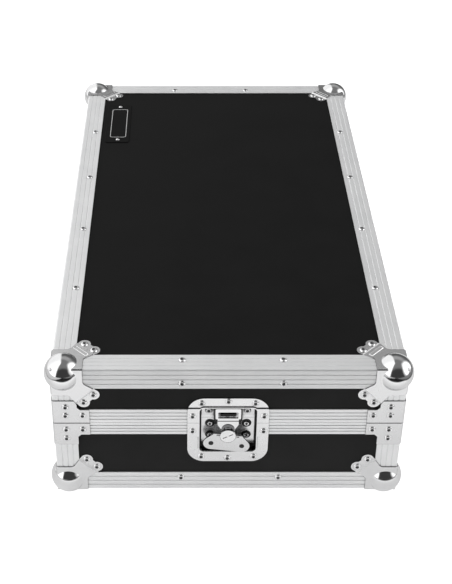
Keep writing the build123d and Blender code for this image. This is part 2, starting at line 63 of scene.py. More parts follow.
latch_along = (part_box("latch_right_b_dish")[0].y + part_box("latch_right_b_dish")[1].y) / 2

# Distance of each side's face from the middle, and its turn
sides = {"near": (half_l, 0), "right": (half_w, 90), "far": (half_l, 180), "left": (half_w, 270)}
# Side of each latch, and its place along it
latches = {
    "near": ("near", 0.0),
    "far": ("far", 0.0),
    "right_a": ("right", -latch_along),
    "right_b": ("right", latch_along),
}


def side_frame(side, along=0.0, z=0.0):
    """Matrix from a side's own frame, X along it and Y inwards from the face, to the case."""
    out, turn = sides[side]
    return Matrix.Rotation(math.radians(turn), 4, "Z") @ Matrix.Translation((along, -out, z))


def latch_frame(name):
    """Matrix from a latch's own frame, heights from the lid joint, to the case."""
    side, along = latches[name]
    return side_frame(side, along, split_z)


# Materials

gap_shade_reach = 6 * mm    # of the painted shade in a narrow gap
ball_rough = 0.11


def new_material(name):
    """Material with its node tree and its surface shader."""
    material = bpy.data.materials.new(name)
    material.use_nodes = True
    tree = material.node_tree
    return material, tree, tree.nodes["Principled BSDF"]


def place_of(tree, stretch=(1, 1, 1)):
    """Object coordinates, stretched along the axes."""
    where = tree.nodes.new("ShaderNodeTexCoord")
    mapping = tree.nodes.new("ShaderNodeMapping")
    mapping.inputs["Scale"].default_value = stretch
    tree.links.new(where.outputs["Object"], mapping.inputs["Vector"])
    return mapping.outputs["Vector"]


def arithmetic(tree, operation, first, second):
    """Two sockets or numbers put together."""
    step = tree.nodes.new("ShaderNodeMath")
    step.operation = operation
    for i, given in enumerate((first, second)):
        if isinstance(given, (int, float)):
            step.inputs[i].default_value = given
        else:
            tree.links.new(given, step.inputs[i])
    return step.outputs["Value"]


def parts_of(tree, vector):
    """X, Y and Z of a vector."""
    apart = tree.nodes.new("ShaderNodeSeparateXYZ")
    tree.links.new(vector, apart.inputs[0])
    return apart.outputs


def root_of_squares(tree, lengths):
    """Square root of the sum of the squares."""
    total = 0.0
    for length in lengths:
        total = arithmetic(tree, "ADD", total, arithmetic(tree, "MULTIPLY", length, length))
    return arithmetic(tree, "SQRT", total, 0.0)


def mottle(tree, scale, stretch=(1, 1, 1), detail=4.0, roughness=0.6):
    """Noise of so many cells a metre."""
    cells = tree.nodes.new("ShaderNodeTexNoise")
    cells.inputs["Scale"].default_value = scale
    cells.inputs["Detail"].default_value = detail
    cells.inputs["Roughness"].default_value = roughness
    tree.links.new(place_of(tree, stretch), cells.inputs["Vector"])
    return cells.outputs["Fac"]


def spread(tree, value, low, high, from_low=0.3, from_high=0.7):
    """Value stretched to run from low to high."""
    ramp = tree.nodes.new("ShaderNodeMapRange")
    ramp.inputs["From Min"].default_value = from_low
    ramp.inputs["From Max"].default_value = from_high
    ramp.inputs["To Min"].default_value = low
    ramp.inputs["To Max"].default_value = high
    tree.links.new(value, ramp.inputs["Value"])
    return ramp.outputs["Result"]


def blend_values(tree, share, first, second):
    """Value between two values, each a number or a socket."""
    mix = tree.nodes.new("ShaderNodeMix")
    tree.links.new(share, mix.inputs["Factor"])
    for name, given in (("A", first), ("B", second)):
        if isinstance(given, float):
            mix.inputs[name].default_value = given
        else:
            tree.links.new(given, mix.inputs[name])
    return mix.outputs["Result"]


def blend_colours(tree, share, first, second):
    """Colour between two colours, each three numbers or a socket."""
    mix = tree.nodes.new("ShaderNodeMix")
    mix.data_type = "RGBA"
    tree.links.new(share, mix.inputs["Factor"])
    for name, given in (("A", first), ("B", second)):
        if isinstance(given, (tuple, list)):
            mix.inputs[name].default_value = (*given, 1)
        else:
            tree.links.new(given, mix.inputs[name])
    return mix.outputs["Result"]


def relief(tree, shader, height, depth, strength=1.0):
    """Small relief on the surface, depth in metres."""
    bump = tree.nodes.new("ShaderNodeBump")
    bump.inputs["Distance"].default_value = depth
    bump.inputs["Strength"].default_value = strength
    tree.links.new(height, bump.inputs["Height"])
    tree.links.new(bump.outputs["Normal"], shader.inputs["Normal"])


def shaded_gaps(tree, colour):
    """Colour with painted shade: dark in narrow gaps and at the foot of raised plates, where shade falls."""
    gaps = tree.nodes.new("ShaderNodeAmbientOcclusion")
    gaps.samples = 8
    gaps.inputs["Distance"].default_value = gap_shade_reach
    openness = spread(tree, gaps.outputs["AO"], 0.0, 1.0, 0.3, 0.8)
    # painted shade: the colour goes nearly black where the gap is closed in
    return blend_colours(tree, openness, (0.015, 0.015, 0.015), colour)


def board_laminate(name, dark, light):
    """Black laminate with a fine matte grain."""
    material, tree, shader = new_material(name)
    patches = mottle(tree, 14.0, detail=6.0)
    grain = mottle(tree, 700.0, detail=3.0)
    tone = blend_colours(tree, spread(tree, patches, 0.0, 1.0), [dark] * 3, [light] * 3)
    tree.links.new(tone, shader.inputs["Base Color"])
    tree.links.new(spread(tree, patches, 0.55, 0.68), shader.inputs["Roughness"])
    shader.inputs["Specular IOR Level"].default_value = 0.05
    relief(tree, shader, grain, 0.12 * mm, 0.5)
    return material


def anodised(name, axis, rough_low, rough_high):
    """Satin aluminium with drawing lines along one axis, and painted shade in its gaps."""
    material, tree, shader = new_material(name)
    along = [1100.0, 1100.0, 1100.0]
    along[axis] = 3.0
    lines = mottle(tree, 1.0, stretch=along, detail=3.0)
    smears = mottle(tree, 22.0, detail=5.0)
    dull, bright = (0.87, 0.875, 0.88), (0.94, 0.942, 0.945)
    tone = blend_colours(tree, spread(tree, smears, 0.0, 1.0), dull, bright)
    tree.links.new(shaded_gaps(tree, tone), shader.inputs["Base Color"])
    tree.links.new(spread(tree, lines, rough_low, rough_high), shader.inputs["Roughness"])
    shader.inputs["Metallic"].default_value = 0.6
    relief(tree, shader, lines, 0.003 * mm, 0.3)
    return material


def share_between(tree, value, low, high, soft):
    """1 where the value is between low and high."""
    above = spread(tree, value, 0.0, 1.0, low - soft, low + soft)
    return arithmetic(tree, "MULTIPLY", above, spread(tree, value, 1.0, 0.0, high - soft, high + soft))


def inside_faces(tree):
    """How far a point lies inside each of the case's three nearest faces, near the corners and the ends."""
    place = parts_of(tree, tree.nodes.new("ShaderNodeTexCoord").outputs["Object"])
    middle_z = (top_z + bottom_z) / 2
    lengths = []
    for axis, half, middle in (("X", half_w, 0.0), ("Y", half_l, 0.0), ("Z", top_z - middle_z, middle_z)):
        away = arithmetic(tree, "ABSOLUTE", arithmetic(tree, "SUBTRACT", place[axis], middle), 0.0)
        lengths.append(arithmetic(tree, "SUBTRACT", half, away))
    return lengths


def painted_wall_shade(tree, shader, colour):
    """Painted shade on the drawn walls of the latch dishes and the lip inside: their colour goes dark below
    the flange, where shade falls.
    """
    in_x, in_y, _ = inside_faces(tree)
    depth = arithmetic(tree, "MINIMUM", in_x, in_y)
    wall = share_between(tree, depth, 0.9 * mm, pan_floor - 0.4 * mm, 0.2 * mm)
    # painted shade: nearly black on the walls below the flange
    return blend_colours(tree, wall, colour, (0.03, 0.03, 0.03))


def bright_balls(tree, shader, colour):
    """Mirror finish on the balls, satin on the leaves round them."""
    from_centre = [arithmetic(tree, "SUBTRACT", length, ball_in) for length in inside_faces(tree)]
    reach = root_of_squares(tree, from_centre)
    leaves = spread(tree, reach, 0.0, 1.0, ball_r + 0.3 * mm, ball_r + 0.8 * mm)
    satin = shader.inputs["Roughness"].links[0].from_socket
    tree.links.new(blend_values(tree, leaves, ball_rough, satin), shader.inputs["Roughness"])
    return colour


def plated(name, colour, rough_low, rough_high, wave, finish_or_shade=None, no_gap_shade=False):
    """Nickel plated sheet, with the slight waves of a pressed part.

    Its finish argument alters the roughness on some of its faces or paints shade into their colour, and its
    last argument leaves out the painted shade in its gaps.
    """
    material, tree, shader = new_material(name)
    smears = mottle(tree, 45.0, detail=5.0)
    waves = mottle(tree, 60.0, detail=1.0)
    darker = tuple(0.93 * part for part in colour)
    tone = blend_colours(tree, spread(tree, smears, 0.0, 1.0), darker, colour)
    tree.links.new(spread(tree, smears, rough_low, rough_high), shader.inputs["Roughness"])
    if finish_or_shade:
        tone = finish_or_shade(tree, shader, tone)
    # painted shade in the gaps, except on the parts that leave it out
    tree.links.new(tone if no_gap_shade else shaded_gaps(tree, tone), shader.inputs["Base Color"])
    shader.inputs["Metallic"].default_value = 1.0
    relief(tree, shader, waves, wave, 0.5)
    return material


def open_cell_foam():
    """Charcoal foam with open pores."""
    material, tree, shader = new_material("open_cell_foam")
    pores = tree.nodes.new("ShaderNodeTexVoronoi")
    pores.inputs["Scale"].default_value = 650.0
    tree.links.new(place_of(tree), pores.inputs["Vector"])
    tone = blend_colours(tree, spread(tree, pores.outputs["Distance"], 0.0, 1.0, 0.1, 0.7),
                         (0.012, 0.012, 0.013), (0.055, 0.055, 0.06))
    tree.links.new(tone, shader.inputs["Base Color"])
    shader.inputs["Roughness"].default_value = 1.0
    shader.inputs["Specular IOR Level"].default_value = 0.1
    shader.inputs["Sheen Weight"].default_value = 0.15
    relief(tree, shader, pores.outputs["Distance"], 0.7 * mm, 0.8)
    return material


def moulded(name, colour, rough, grain):
    """Moulded rubber or plastic with a fine grain."""
    material, tree, shader = new_material(name)
    cells = mottle(tree, grain, detail=4.0)
    lighter = tuple(1.35 * part for part in colour)
    tone = blend_colours(tree, spread(tree, cells, 0.0, 1.0), colour, lighter)
    tree.links.new(tone, shader.inputs["Base Color"])
    tree.links.new(spread(tree, cells, rough - 0.06, rough + 0.06), shader.inputs["Roughness"])
    shader.inputs["Specular IOR Level"].default_value = 0.4
    relief(tree, shader, cells, 0.05 * mm, 0.4)
    return material


laminate = board_laminate("board_laminate", 0.0102, 0.0132)
wall_laminate = board_laminate("wall_laminate", 0.021, 0.027)
drawn = [anodised(f"anodised_{axis}", i, 0.44, 0.56) for i, axis in enumerate("xy")]
smooth_drawn = [anodised(f"smooth_anodised_{axis}", i, 0.32, 0.42) for i, axis in enumerate("xyz")]
nickel = plated("satin_nickel", (0.74, 0.74, 0.745), 0.22, 0.3, 0.01 * mm)
# the dish walls of this material get painted shade
dish_nickel = plated("dish_nickel", (0.83, 0.83, 0.835), 0.22, 0.3, 0.01 * mm, painted_wall_shade)
corner_chrome = plated("corner_chrome", (0.78, 0.78, 0.785), 0.2, 0.28, 0.008 * mm, bright_balls)
# the rivets and the crank slopes get no painted shade in their gaps
rivet_alloy = plated("rivet_alloy", (0.95, 0.95, 0.955), 0.24, 0.32, 0.01 * mm, no_gap_shade=True)
ramp_nickel = plated("ramp_nickel", (0.94, 0.94, 0.945), 0.55, 0.65, 0.01 * mm, no_gap_shade=True)
# cam flange colour darkened as painted reflection, for the dark reflections on its shiny dome
cam_painted_reflection = plated("cam_painted_reflection", (0.2, 0.2, 0.205), 0.1, 0.2, 0.01 * mm)
polished = plated("polished_nickel", (0.86, 0.86, 0.865), 0.12, 0.2, 0.02 * mm)
foam = open_cell_foam()
rubber = moulded("black_rubber", (0.022, 0.022, 0.022), 0.7, 500.0)
label_black = board_laminate("label_black", 0.008, 0.010)
label_white = moulded("label_white", (0.58, 0.58, 0.58), 0.5, 300.0)
# black of the eyelet washers, and painted shade for the dark strips and hole caps in the latch pans
black_for_washers_and_shade = moulded("black_washer_and_shade", (0.008, 0.008, 0.008), 0.4, 400.0)
# dark steel of the mandrels in the rivet and eyelet holes, darkened further as painted shade in the holes
core_steel_and_shade = plated("rivet_core", (0.16, 0.16, 0.163), 0.4, 0.5, 0.02 * mm)


def node_material(name):
    """Finish of a CAD node."""
    if "edge" in name or "rim" in name:
        return (drawn if "edge" in name else smooth_drawn)[1 if name.endswith(("left", "right")) else 0]
    if "posts" in name:
        return smooth_drawn[2]
    if "ball" in name:
        return corner_chrome
    if name.startswith("latch") and name.endswith("dish") or "keepers" in name:
        return dish_nickel
    if "wall" in name:
        return wall_laminate
    if "board" in name:
        return laminate
    if "feet" in name or "grip" in name:
        return rubber
    if any(word in name for word in ("spindle", "hook", "bail", "pins")):
        return polished
    return nickel


for node_name, node in nodes.items():
    for material_slot in node.material_slots:
        material_slot.material = node_material(node_name)


# Rivets and other small round parts, repeated on points

class Points:
    """Places of one kind of small part on one body, with their outward directions and scales."""

    def __init__(self):
        self.places, self.outs, self.scales = [], [], []

    def add(self, place, out, scale=1.0):
        """Add one at a place of the case."""
        self.places.append(Vector(place))
        self.outs.append(Vector(out).normalized())
        self.scales.append(scale)

    def add_on(self, matrix, x, inward, z, scale=1.0):
        """Add one on a side, in the side's own frame."""
        self.add(matrix @ Vector((x, inward, z)), matrix.to_3x3() @ Vector((0, -1, 0)), scale)


def float_curve(tree, value, points):
    """Value of a curve through points with straight runs."""
    curve = tree.nodes.new("ShaderNodeFloatCurve")
    line = curve.mapping.curves[0]
    for i, (x, y) in enumerate(points):
        point = line.points[i] if i < 2 else line.points.new(x, y)
        point.location = (x, y)
    for point in line.points:
        point.handle_type = "VECTOR"
    curve.mapping.update()
    tree.links.new(value, curve.inputs["Value"])
    return curve.outputs["Value"]


def turned_part_tree(name, outer, inner, heights, around, metal, core=None, core_from=None):
    """Geometry nodes that put a turned part on each point.

    outer and inner are shares of the head's and the hole's radius, heights are shares of the height.
    Bands from core_from inwards take the core's material, where the part has a core.
    """
    tree = bpy.data.node_groups.new(name, "GeometryNodeTree")
    tree.interface.new_socket("Geometry", in_out="INPUT", socket_type="NodeSocketGeometry")
    for size in ("Head radius", "Head height", "Hole radius"):
        tree.interface.new_socket(size, in_out="INPUT", socket_type="NodeSocketFloat")
    tree.interface.new_socket("Seed", in_out="INPUT", socket_type="NodeSocketInt")
    tree.interface.new_socket("Geometry", in_out="OUTPUT", socket_type="NodeSocketGeometry")
    given = tree.nodes.new("NodeGroupInput").outputs
    bands = len(outer) - 1
    steps = [i / bands for i in range(bands + 1)]

    grid = tree.nodes.new("GeometryNodeMeshGrid")
    grid.inputs["Size X"].default_value = 1.0
    grid.inputs["Size Y"].default_value = 1.0
    grid.inputs["Vertices X"].default_value = around + 1
    grid.inputs["Vertices Y"].default_value = bands + 1
    on_grid = parts_of(tree, tree.nodes.new("GeometryNodeInputPosition").outputs[0])
    run = arithmetic(tree, "ADD", on_grid["Y"], 0.5)
    mark = tree.nodes.new("GeometryNodeStoreNamedAttribute")
    mark.data_type = "BOOLEAN"
    mark.domain = "FACE"
    mark.inputs["Name"].default_value = "core"
    tree.links.new(grid.outputs["Mesh"], mark.inputs["Geometry"])
    core_start = core_from / bands if core else 2.0
    tree.links.new(arithmetic(tree, "GREATER_THAN", run, core_start), mark.inputs["Value"])

    angle = arithmetic(tree, "MULTIPLY", arithmetic(tree, "ADD", on_grid["X"], 0.5), -2 * math.pi)

    def profile(shares, size):
        return arithmetic(tree, "MULTIPLY", float_curve(tree, run, list(zip(steps, shares))), given[size])

    radius = arithmetic(tree, "ADD", profile(outer, "Head radius"), profile(inner, "Hole radius"))
    together = tree.nodes.new("ShaderNodeCombineXYZ")
    for axis, turn in (("X", "COSINE"), ("Y", "SINE")):
        part = arithmetic(tree, "MULTIPLY", arithmetic(tree, turn, angle, 0.0), radius)
        tree.links.new(part, together.inputs[axis])
    tree.links.new(profile(heights, "Head height"), together.inputs["Z"])
    lathe = tree.nodes.new("GeometryNodeSetPosition")
    tree.links.new(mark.outputs["Geometry"], lathe.inputs["Geometry"])
    tree.links.new(together.outputs[0], lathe.inputs["Position"])
    seam = tree.nodes.new("GeometryNodeMergeByDistance")
    seam.inputs["Distance"].default_value = 0.01 * mm
    tree.links.new(lathe.outputs[0], seam.inputs["Geometry"])
    smooth = tree.nodes.new("GeometryNodeSetShadeSmooth")
    tree.links.new(seam.outputs[0], smooth.inputs["Geometry"])

    out = tree.nodes.new("GeometryNodeInputNamedAttribute")
    out.data_type = "FLOAT_VECTOR"
    out.inputs["Name"].default_value = "out"
    align = tree.nodes.new("FunctionNodeAlignRotationToVector")
    tree.links.new(out.outputs["Attribute"], align.inputs["Vector"])
    scale = tree.nodes.new("GeometryNodeInputNamedAttribute")
    scale.inputs["Name"].default_value = "scale"
    vary = tree.nodes.new("FunctionNodeRandomValue")
    vary.data_type = "FLOAT"
    floats = [socket for socket in vary.inputs if socket.type == "VALUE" and socket.enabled]
    floats[0].default_value, floats[1].default_value = 0.97, 1.03
    tree.links.new(given["Seed"], vary.inputs["Seed"])
    random = next(socket for socket in vary.outputs if socket.type == "VALUE" and socket.enabled)
    place = tree.nodes.new("GeometryNodeInstanceOnPoints")
    tree.links.new(given["Geometry"], place.inputs["Points"])
    tree.links.new(smooth.outputs[0], place.inputs["Instance"])
    tree.links.new(align.outputs[0], place.inputs["Rotation"])
    tree.links.new(arithmetic(tree, "MULTIPLY", scale.outputs["Attribute"], random), place.inputs["Scale"])
    realize = tree.nodes.new("GeometryNodeRealizeInstances")
    tree.links.new(place.outputs[0], realize.inputs[0])
    finish_metal = tree.nodes.new("GeometryNodeSetMaterial")
    finish_metal.inputs["Material"].default_value = metal
    tree.links.new(realize.outputs[0], finish_metal.inputs["Geometry"])
    core_faces = tree.nodes.new("GeometryNodeInputNamedAttribute")
    core_faces.data_type = "BOOLEAN"
    core_faces.inputs["Name"].default_value = "core"
    finish_core = tree.nodes.new("GeometryNodeSetMaterial")
    finish_core.inputs["Material"].default_value = core or metal
    tree.links.new(core_faces.outputs["Attribute"], finish_core.inputs["Selection"])
    tree.links.new(finish_metal.outputs[0], finish_core.inputs["Geometry"])
    end = tree.nodes.new("NodeGroupOutput")
    tree.links.new(finish_core.outputs[0], end.inputs[0])
    return tree


def put_on_points(name, points, tree, sizes, body):
    """One mesh of a repeated part, made by geometry nodes and then made plain."""
    mesh = bpy.data.meshes.new(name)
    mesh.from_pydata(points.places, [], [])
    out = mesh.attributes.new("out", "FLOAT_VECTOR", "POINT")
    out.data.foreach_set("vector", [value for direction in points.outs for value in direction])
    scale = mesh.attributes.new("scale", "FLOAT", "POINT")
    scale.data.foreach_set("value", points.scales)
    piece = bpy.data.objects.new(name, mesh)
    scene.collection.objects.link(piece)
    modifier = piece.modifiers.new("repeat", "NODES")
    modifier.node_group = tree
    for item in tree.interface.items_tree:
        if item.in_out == "INPUT" and item.name in sizes:
            modifier[item.identifier] = sizes[item.name]
    made = bpy.data.meshes.new_from_object(piece.evaluated_get(bpy.context.evaluated_depsgraph_get()))
    piece.modifiers.clear()
    piece.data = made
    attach(piece, body)


def mirrored_pair(values):
    """Each value with both signs."""
    return [sign * value for value in values for sign in (-1, 1)]


edge_rivet_in = 20 * mm
edge_rivet_drop = 21.5 * mm
long_side_rivets = mirrored_pair([75 * mm, 224 * mm])
base_near_rivets = [-60.3 * mm, 67.5 * mm]
lid_near_rivets = [-58.8 * mm, 68 * mm]
far_rivets = [-52.4 * mm, 71.9 * mm]
lobe_near = 40.0 * mm    # the two rivets of an ear, from the faces beside it
lobe_far = 52.6 * mm
seat_in = 0.4 * mm       # faces of the ears and the dishes inside the case's own
lid_brace_rivets = [(16.5, 26.8), (16.0, 12.9), (37.8, 12.9)]         # mm from the corner and above the joint
base_brace_rivets = [(16.0, -10.3), (37.2, -10.3), (15.8, -25.1)]
drift = 1.5              # the right hand rivets of every side sit this much further in
hinge_rivets = (-21 * mm, 0.0, 21 * mm)
hinge_rivet_drop = 10.5 * mm
hinge_rivet_scale = 0.85
handle_rivets = [(66.5, 20.0), (66.5, -20.0), (30.0, 26.4), (30.0, -26.4)]    # mm from the handle's middle


def edge_rivets(points, z_face, up, near):
    """Rivets through both legs of the long and short edge sections of one half."""
    for side, places in (("near", near), ("far", far_rivets), ("right", long_side_rivets),
                         ("left", long_side_rivets)):
        matrix = side_frame(side)
        for along in places:
            points.add_on(matrix, along, 0.0, z_face - up * edge_rivet_drop)
            points.add(matrix @ Vector((along, edge_rivet_in, z_face)), (0, 0, up))


def leaf_rivets(points, z_face, up):
    """Two rivets in the ear of each leaf of the ball corners."""
    for sx in (-1, 1):
        for sy in (-1, 1):
            x, y = sx * half_w, sy * half_l
            for a, b in ((lobe_near, lobe_far), (lobe_far, lobe_near)):
                points.add((x - sx * a, y - sy * b, z_face - up * seat_in), (0, 0, up))
                points.add((x - sx * seat_in, y - sy * a, z_face - up * b), (sx, 0, 0))
                points.add((x - sx * a, y - sy * seat_in, z_face - up * b), (0, sy, 0))


def brace_rivets(points, places):
    """Three rivets in each wing of the corner braces."""
    for side, half in (("near", half_w), ("far", half_w), ("left", half_l), ("right", half_l)):
        matrix = side_frame(side, 0.0, split_z)
        for from_corner, up in places:
            for along in (from_corner * mm - half, half - (from_corner + drift) * mm):
                points.add_on(matrix, along, -brace_proud, up * mm)


def dish_rivets(points, raised, low):
    """Rivets round the flange of the latch dishes, on its raised ends and its low edge."""
    for name in latches:
        matrix = latch_frame(name)
        for x, z in raised:
            for s in (-1, 1):
                points.add_on(matrix, s * x * mm, -dish_proud, z * mm)
        for x, z in low:
            for s in ((-1, 1) if x else (1,)):
                points.add_on(matrix, s * x * mm, seat_in, z * mm)


base_points, lid_points = Points(), Points()
edge_rivets(base_points, bottom_z, -1, base_near_rivets)
edge_rivets(lid_points, top_z, 1, lid_near_rivets)
leaf_rivets(base_points, bottom_z, -1)
leaf_rivets(lid_points, top_z, 1)
brace_rivets(base_points, base_brace_rivets)
brace_rivets(lid_points, lid_brace_rivets)
dish_rivets(base_points, raised=[(45.5, -12.9)], low=[(34.0, -57.8), (0.0, -60.4)])
dish_rivets(lid_points, raised=[(45.5, 11.8)], low=[(34.0, 32.0), (0.0, 35.0)])
for at in (-hinge_along, hinge_along):
    hinge_matrix = side_frame("left", at, hinge_axis_z)
    for x in hinge_rivets:
        base_points.add_on(hinge_matrix, x, -hinge_proud, -hinge_rivet_drop, hinge_rivet_scale)
        lid_points.add_on(hinge_matrix, x, -hinge_proud, hinge_rivet_drop, hinge_rivet_scale)
handle_matrix = side_frame("right", 0.0, handle_z)
for x, z in handle_rivets:
    for s in (-1, 1):
        base_points.add_on(handle_matrix, s * x * mm, seat_in, z * mm)

rivet_tree = turned_part_tree(
    "pop_rivets",
    outer=[0.0, 1.0, 0.88, 0.66, 0.0, 0.0, 0.0],
    inner=[0.0, 0.0, 0.0, 0.0, 1.0, 0.85, 0.0],
    heights=[0.0, 0.0, 0.42, 0.72, 1.0, 0.3, 0.25],
    around=14, metal=rivet_alloy, core=core_steel_and_shade, core_from=4)
rivet_sizes = {"Head radius": 4.9 * mm, "Head height": 1.8 * mm, "Hole radius": 2.3 * mm, "Seed": 7}


# Plates and rings

def rounded_outline(x0, x1, y0, y1, radius, steps=6):
    """Points round a rectangle with round corners."""
    outline = []
    for cx, cy, start in ((x1 - radius, y1 - radius, 0), (x0 + radius, y1 - radius, 90),
                          (x0 + radius, y0 + radius, 180), (x1 - radius, y0 + radius, 270)):
        for i in range(steps + 1):
            angle = math.radians(start + 90 * i / steps)
            outline.append((cx + radius * math.cos(angle), cy + radius * math.sin(angle)))
    return outline


def inset_ring(bm, outline, matrix, inset, z):
    """Ring of points over an outline, drawn in from its edge, at a height."""
    middle_x = sum(x for x, y in outline) / len(outline)
    middle_y = sum(y for x, y in outline) / len(outline)
    share_x = 1 - inset / max(abs(x - middle_x) for x, y in outline)
    share_y = 1 - inset / max(abs(y - middle_y) for x, y in outline)
    return [bm.verts.new(matrix @ Vector((middle_x + (x - middle_x) * share_x,
                                          middle_y + (y - middle_y) * share_y, z)))
            for x, y in outline]


def join_rings(bm, lower, upper):
    """Faces between two rings."""
    for i in range(len(lower)):
        j = (i + 1) % len(lower)
        bm.faces.new((lower[i], lower[j], upper[j], upper[i]))


def add_closed(bm, rings):
    """Faces between rings, closed over the first and the last."""
    bm.faces.new(list(reversed(rings[0])))
    bm.faces.new(rings[-1])
    for lower, upper in zip(rings, rings[1:]):
        join_rings(bm, lower, upper)


def add_slab(bm, outline, matrix, low, high, chamfer):
    """Flat plate between two heights over an outline, with a chamfered upper edge."""
    add_closed(bm, [inset_ring(bm, outline, matrix, inset, z)
                    for inset, z in ((0.0, low), (0.0, high - chamfer), (chamfer, high))])


def new_piece(name, bm, material, body, smooth=False):
    """Piece from a bmesh, riding on a body."""
    bmesh.ops.recalc_face_normals(bm, faces=bm.faces)
    mesh = bpy.data.meshes.new(name)
    bm.to_mesh(mesh)
    bm.free()
    mesh.materials.append(material)
    if smooth:
        mesh.shade_smooth()
    piece = bpy.data.objects.new(name, mesh)
    scene.collection.objects.link(piece)
    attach(piece, body)
    return piece


# Label plate on the top board

label_x = (-186 * mm, -146 * mm)
label_y = (190 * mm, 324 * mm)
label_corner = 5 * mm
label_t = 1.2 * mm
board_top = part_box("top_board")[1].z
label_top = board_top + label_t
line_x = (-178.0 * mm, -151.8 * mm)    # of the outline painted on the label
line_y = (207 * mm, 307 * mm)
line_corner = 4 * mm
line_wide = 0.9 * mm
paint_t = 0.1 * mm
stud_x = -164.8 * mm
stud_y = (316.0 * mm, 198.8 * mm)


def label_plate():
    """Bare black plate with a plain white outline."""
    bm = bmesh.new()
    plate = rounded_outline(*label_x, *label_y, label_corner)
    add_slab(bm, plate, Matrix.Identity(4), board_top, label_top, 0.4 * mm)
    new_piece("label_plate", bm, label_black, "lid")
    bm = bmesh.new()
    outer = rounded_outline(*line_x, *line_y, line_corner)
    inner = rounded_outline(line_x[0] + line_wide, line_x[1] - line_wide,
                            line_y[0] + line_wide, line_y[1] - line_wide, line_corner - line_wide)
    rings = [[bm.verts.new((x, y, z)) for x, y in line]
             for line, z in ((outer, label_top), (outer, label_top + paint_t),
                             (inner, label_top + paint_t), (inner, label_top))]
    for one, other in zip(rings, rings[1:] + rings[:1]):
        join_rings(bm, one, other)
    new_piece("label_outline", bm, label_white, "lid")


label_plate()
label_points = Points()
for y in stud_y:
    label_points.add((stud_x, y, label_top), (0, 0, 1))
stud_tree = turned_part_tree(
    "label_studs",
    outer=[0.0, 1.0, 0.95, 0.75, 0.4, 0.0],
    inner=[0.0] * 6,
    heights=[0.0, 0.0, 0.45, 0.85, 1.0, 1.0],
    around=16, metal=rivet_alloy)
stud_sizes = {"Head radius": 3.2 * mm, "Head height": 1.3 * mm, "Hole radius": 0.0, "Seed": 8}
put_on_points("label_studs", label_points, stud_tree, stud_sizes, "lid")

put_on_points("rivets_base", base_points, rivet_tree, rivet_sizes, "base")
put_on_points("rivets_lid", lid_points, rivet_tree, rivet_sizes, "lid")


# Blank stamps and cranks on the leaves of the ball corners

leaf_proud = 1.2 * mm
stamp_in = 36.6 * mm     # both distances from the corner
stamp_half = 12.0 * mm
stamp_half_h = 3.0 * mm
stamp_rim = 1.0 * mm
crank_sum = 82.0 * mm    # sum of both distances from the corner
crank_wide = 3.2 * mm
ear_half = 16.4 * mm


def add_frame(bm, outline, matrix, low, high, rim):
    """Raised rim with a ridge over an outline, with a bare field inside."""
    field = low + 0.3 * (high - low)
    add_closed(bm, [inset_ring(bm, outline, matrix, inset, z)
                    for inset, z in ((0.0, low), (rim / 2, high), (rim, field))])


def add_ramp(bm, matrix, half, wide, low, high):
    """Strip with a sloped top, from high at the middle line down to low."""
    ends = [[bm.verts.new(matrix @ Vector((x, y, z))) for y, z in ((0.0, low), (0.0, high), (wide, low))]
            for x in (-half, half)]
    bm.faces.new(ends[0])
    bm.faces.new(list(reversed(ends[1])))
    for i in range(3):
        j = (i + 1) % 3
        bm.faces.new((ends[0][i], ends[1][i], ends[1][j], ends[0][j]))


def corner_planes(face_z, up):
    """Kind of every leaf of one half's ball corners, and the matrix on it, Z outwards and Y to its ear."""
    for sx in (-1, 1):
        for sy in (-1, 1):
            corner = Vector((sx * half_w, sy * half_l, face_z))
            for kind, out, one, other in (
                    ("flat", Vector((0, 0, up)), Vector((-sx, 0, 0)), Vector((0, -sy, 0))),
                    ("end", Vector((0, sy, 0)), Vector((-sx, 0, 0)), Vector((0, 0, -up))),
                    ("side", Vector((sx, 0, 0)), Vector((0, -sy, 0)), Vector((0, 0, -up)))):
                inwards = (one + other).normalized()
                across = inwards.cross(out)
                turned = Matrix((across, inwards, out)).transposed().to_4x4()
                yield kind, Matrix.Translation(corner) @ turned


def leaf_trim(body, face_z, up):
    """Blank framed stamps on the flat leaves of one half's ball corners, and the slopes of the cranks."""
    stamps, ramps = bmesh.new(), bmesh.new()
    outline = rounded_outline(-stamp_half, stamp_half, -stamp_half_h, stamp_half_h, 0.7 * mm, 3)
    for kind, plane in corner_planes(face_z, up):
        if kind == "flat":
            on_leaf = plane @ Matrix.Translation((0.0, stamp_in * math.sqrt(2), 0.0))
            add_frame(stamps, outline, on_leaf, leaf_proud, leaf_proud + 0.35 * mm, stamp_rim)
        at_crank = plane @ Matrix.Translation((0.0, crank_sum / math.sqrt(2), 0.0))
        add_ramp(ramps, at_crank, ear_half, crank_wide, -seat_in, leaf_proud - 0.05 * mm)
    new_piece(f"stamps_{body}", stamps, polished, body)
    new_piece(f"cranks_{body}", ramps, ramp_nickel, body)


leaf_trim("lid", top_z, 1)
leaf_trim("base", bottom_z, -1)


# Nubs on the balls, which close over the points where the three leaves meet

nub_tree = turned_part_tree(
    "ball_nubs",
    outer=[0.0, 1.0, 0.94, 0.77, 0.5, 0.0],
    inner=[0.0] * 6,
    heights=[0.0, 0.0, 0.35, 0.65, 0.88, 1.0],
    around=16, metal=ramp_nickel)
nub_sizes = {"Head radius": 2.1 * mm, "Head height": 2.1 * mm, "Hole radius": 0.0, "Seed": 9}


def ball_nubs(body, face_z, up):
    """Small round nub on the outer corner of each ball of one half."""
    nubs = Points()
    for sx in (-1, 1):
        for sy in (-1, 1):
            centre = Vector((sx * (half_w - ball_in), sy * (half_l - ball_in), face_z - up * ball_in))
            out = Vector((sx, sy, up)).normalized()
            nubs.add(centre + out * (ball_r - 0.1 * mm), out)
    put_on_points(f"ball_nubs_{body}", nubs, nub_tree, nub_sizes, body)


ball_nubs("lid", top_z, 1)
ball_nubs("base", bottom_z, -1)


# Details in the pan of each latch

